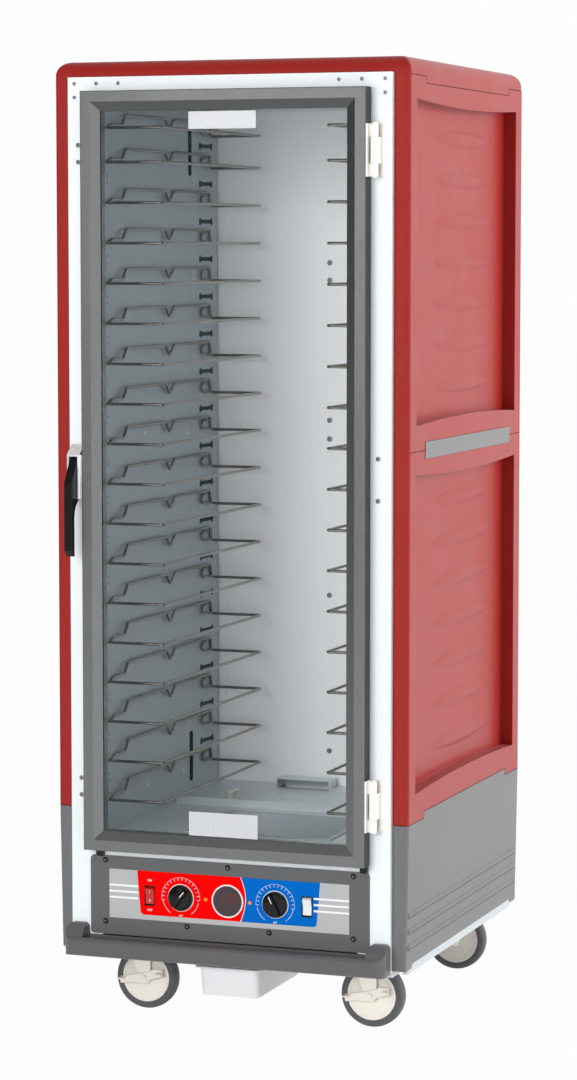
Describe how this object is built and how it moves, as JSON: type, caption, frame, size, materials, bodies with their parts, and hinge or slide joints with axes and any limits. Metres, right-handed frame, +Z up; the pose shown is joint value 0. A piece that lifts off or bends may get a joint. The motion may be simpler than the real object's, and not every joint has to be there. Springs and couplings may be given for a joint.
{
  "type": "heated holding cabinet",
  "caption": "Tall insulated holding cabinet with a full glass door, wire tray slides, a front control module, a bumper and swivel casters.",
  "frame": {"origin": "centre of the overall box on the floor, under the cabinet", "axes": "+Z up, the door faces -Y, +X to the right as seen from the front"},
  "size_m": [0.702, 0.804, 1.815],
  "materials": {
    "liner": "brushed",
    "frame_paint": "satin",
    "plated": "satin",
    "red_shell": "satin",
    "grey_shell": "satin",
    "bumper_grey": "satin",
    "insulation": "fibrous",
    "panel_paint": "satin",
    "door_paint": "satin",
    "label": "satin",
    "black_plastic": "gloss",
    "display": "gloss",
    "lamp": "gloss",
    "motor": "satin",
    "element": "satin",
    "board": "satin",
    "hinge_metal": "polished",
    "glass": "clear",
    "gasket": "matte",
    "chrome_part": "polished",
    "lever_black": "satin",
    "red_rocker": "gloss",
    "white_rocker": "gloss",
    "clear_plastic": "translucent",
    "wheel": "satin"
  },
  "bodies": {
    "cabinet": {"air_sensor": "plated", "back_armour": "red_shell", "back_liner": "liner", "base_frame": "frame_paint", "blower_motor": "motor", "bumper": "bumper_grey", "caster_plates": "plated", "cavity_floor": "liner", "cavity_roof": "liner", "control_board": "board", "control_panel": "panel_paint", "corner_posts": "frame_paint", "display_lens": "display", "drip_rails": "frame_paint", "face_frame": "frame_paint", "fascia_bezels": "black_plastic", "fascia_label": "label", "frame_fasteners": "plated", "heating_element": "element", "hinge_frame_leaves": "hinge_metal", "indicator_lamps": "lamp", "insulation_slabs": "insulation", "joint_strips": "grey_shell", "latch_strike": "plated", "left_slides": "plated", "lower_armour": "red_shell", "module_housing": "liner", "panel_screws": "plated", "power_inlet": "black_plastic", "rear_deck": "liner", "right_slides": "plated", "side_skirts": "grey_shell", "slide_uprights": "liner", "top_cover": "red_shell", "upper_armour": "red_shell", "wall_liners": "liner"},
    "door": {"door_frame": "door_paint", "door_pane": "glass", "door_gasket": "gasket", "handle_base": "chrome_part", "hinge_door_leaves": "hinge_metal", "door_plates": "label"},
    "lever": {"handle_lever": "lever_black"},
    "power_switch": {"power_rocker": "red_rocker"},
    "mode_switch": {"mode_rocker": "white_rocker"},
    "heat_dial": {"heat_knob": "black_plastic"},
    "moisture_dial": {"moisture_knob": "black_plastic"},
    "drip_tray": {"drip_pan": "clear_plastic"},
    "water_tray": {"water_pan": "liner"},
    "blower": {"blower_wheel": "liner"},
    "swivel_front_left": {"fork_front_left": "plated"},
    "roll_front_left": {"wheel_front_left": "wheel"},
    "swivel_front_right": {"fork_front_right": "plated"},
    "roll_front_right": {"wheel_front_right": "wheel"},
    "swivel_rear_left": {"fork_rear_left": "plated"},
    "roll_rear_left": {"wheel_rear_left": "wheel"},
    "swivel_rear_right": {"fork_rear_right": "plated"},
    "roll_rear_right": {"wheel_rear_right": "wheel"},
    "brake_front_left": {"pedal_front_left": "plated"},
    "brake_front_right": {"pedal_front_right": "plated"}
  },
  "joints": [
    {"name": "door_hinge", "type": "hinge", "parent": "cabinet", "child": "door", "pos_m": [0.2925, -0.362, 1.046], "axis": [0, 0, 1], "range_deg": [0, 180]},
    {"name": "handle_swing", "type": "hinge", "parent": "door", "child": "lever", "pos_m": [-0.2963, -0.367, 1.066], "axis": [-1, 0, 0], "range_deg": [0, 30], "stiffness_Nm_per_rad": 1},
    {"name": "power_rock", "type": "hinge", "parent": "cabinet", "child": "power_switch", "pos_m": [-0.158, -0.337, 0.2478], "axis": [1, 0, 0], "range_deg": [0, 16]},
    {"name": "mode_rock", "type": "hinge", "parent": "cabinet", "child": "mode_switch", "pos_m": [0.158, -0.337, 0.2478], "axis": [1, 0, 0], "range_deg": [0, 16]},
    {"name": "heat_turn", "type": "hinge", "parent": "cabinet", "child": "heat_dial", "pos_m": [-0.0947, -0.344, 0.2478], "axis": [0, 1, 0], "range_deg": [-220, 80]},
    {"name": "moisture_turn", "type": "hinge", "parent": "cabinet", "child": "moisture_dial", "pos_m": [0.0947, -0.344, 0.2478], "axis": [0, 1, 0], "range_deg": [-155, 145]},
    {"name": "drip_tray_slide", "type": "slide", "parent": "cabinet", "child": "drip_tray", "axis": [0, -1, 0], "range_m": [0, 0.24]},
    {"name": "water_tray_lift", "type": "slide", "parent": "cabinet", "child": "water_tray", "axis": [0, 0, 1], "range_m": [0, 0.06]},
    {"name": "blower_spin", "type": "hinge", "parent": "cabinet", "child": "blower", "pos_m": [-0.074, 0.215, 0.31], "axis": [0, 0, 1], "continuous": true},
    {"name": "swivel_front_left_turn", "type": "hinge", "parent": "cabinet", "child": "swivel_front_left", "pos_m": [-0.23, -0.212, 0.14], "axis": [0, 0, 1], "continuous": true},
    {"name": "roll_front_left_turn", "type": "hinge", "parent": "swivel_front_left", "child": "roll_front_left", "pos_m": [-0.215, -0.212, 0.062], "axis": [0, 1, 0], "continuous": true},
    {"name": "brake_front_left_press", "type": "hinge", "parent": "swivel_front_left", "child": "brake_front_left", "pos_m": [-0.215, -0.2318, 0.062], "axis": [0, 1, 0], "range_deg": [-15, 0]},
    {"name": "swivel_front_right_turn", "type": "hinge", "parent": "cabinet", "child": "swivel_front_right", "pos_m": [0.23, -0.212, 0.14], "axis": [0, 0, 1], "continuous": true},
    {"name": "roll_front_right_turn", "type": "hinge", "parent": "swivel_front_right", "child": "roll_front_right", "pos_m": [0.245, -0.212, 0.062], "axis": [0, 1, 0], "continuous": true},
    {"name": "brake_front_right_press", "type": "hinge", "parent": "swivel_front_right", "child": "brake_front_right", "pos_m": [0.245, -0.2318, 0.062], "axis": [0, 1, 0], "range_deg": [-15, 0]},
    {"name": "swivel_rear_left_turn", "type": "hinge", "parent": "cabinet", "child": "swivel_rear_left", "pos_m": [-0.23, 0.325, 0.14], "axis": [0, 0, 1], "continuous": true},
    {"name": "roll_rear_left_turn", "type": "hinge", "parent": "swivel_rear_left", "child": "roll_rear_left", "pos_m": [-0.215, 0.325, 0.062], "axis": [0, 1, 0], "continuous": true},
    {"name": "swivel_rear_right_turn", "type": "hinge", "parent": "cabinet", "child": "swivel_rear_right", "pos_m": [0.23, 0.325, 0.14], "axis": [0, 0, 1], "continuous": true},
    {"name": "roll_rear_right_turn", "type": "hinge", "parent": "swivel_rear_right", "child": "roll_rear_right", "pos_m": [0.245, 0.325, 0.062], "axis": [0, 1, 0], "continuous": true}
  ]
}
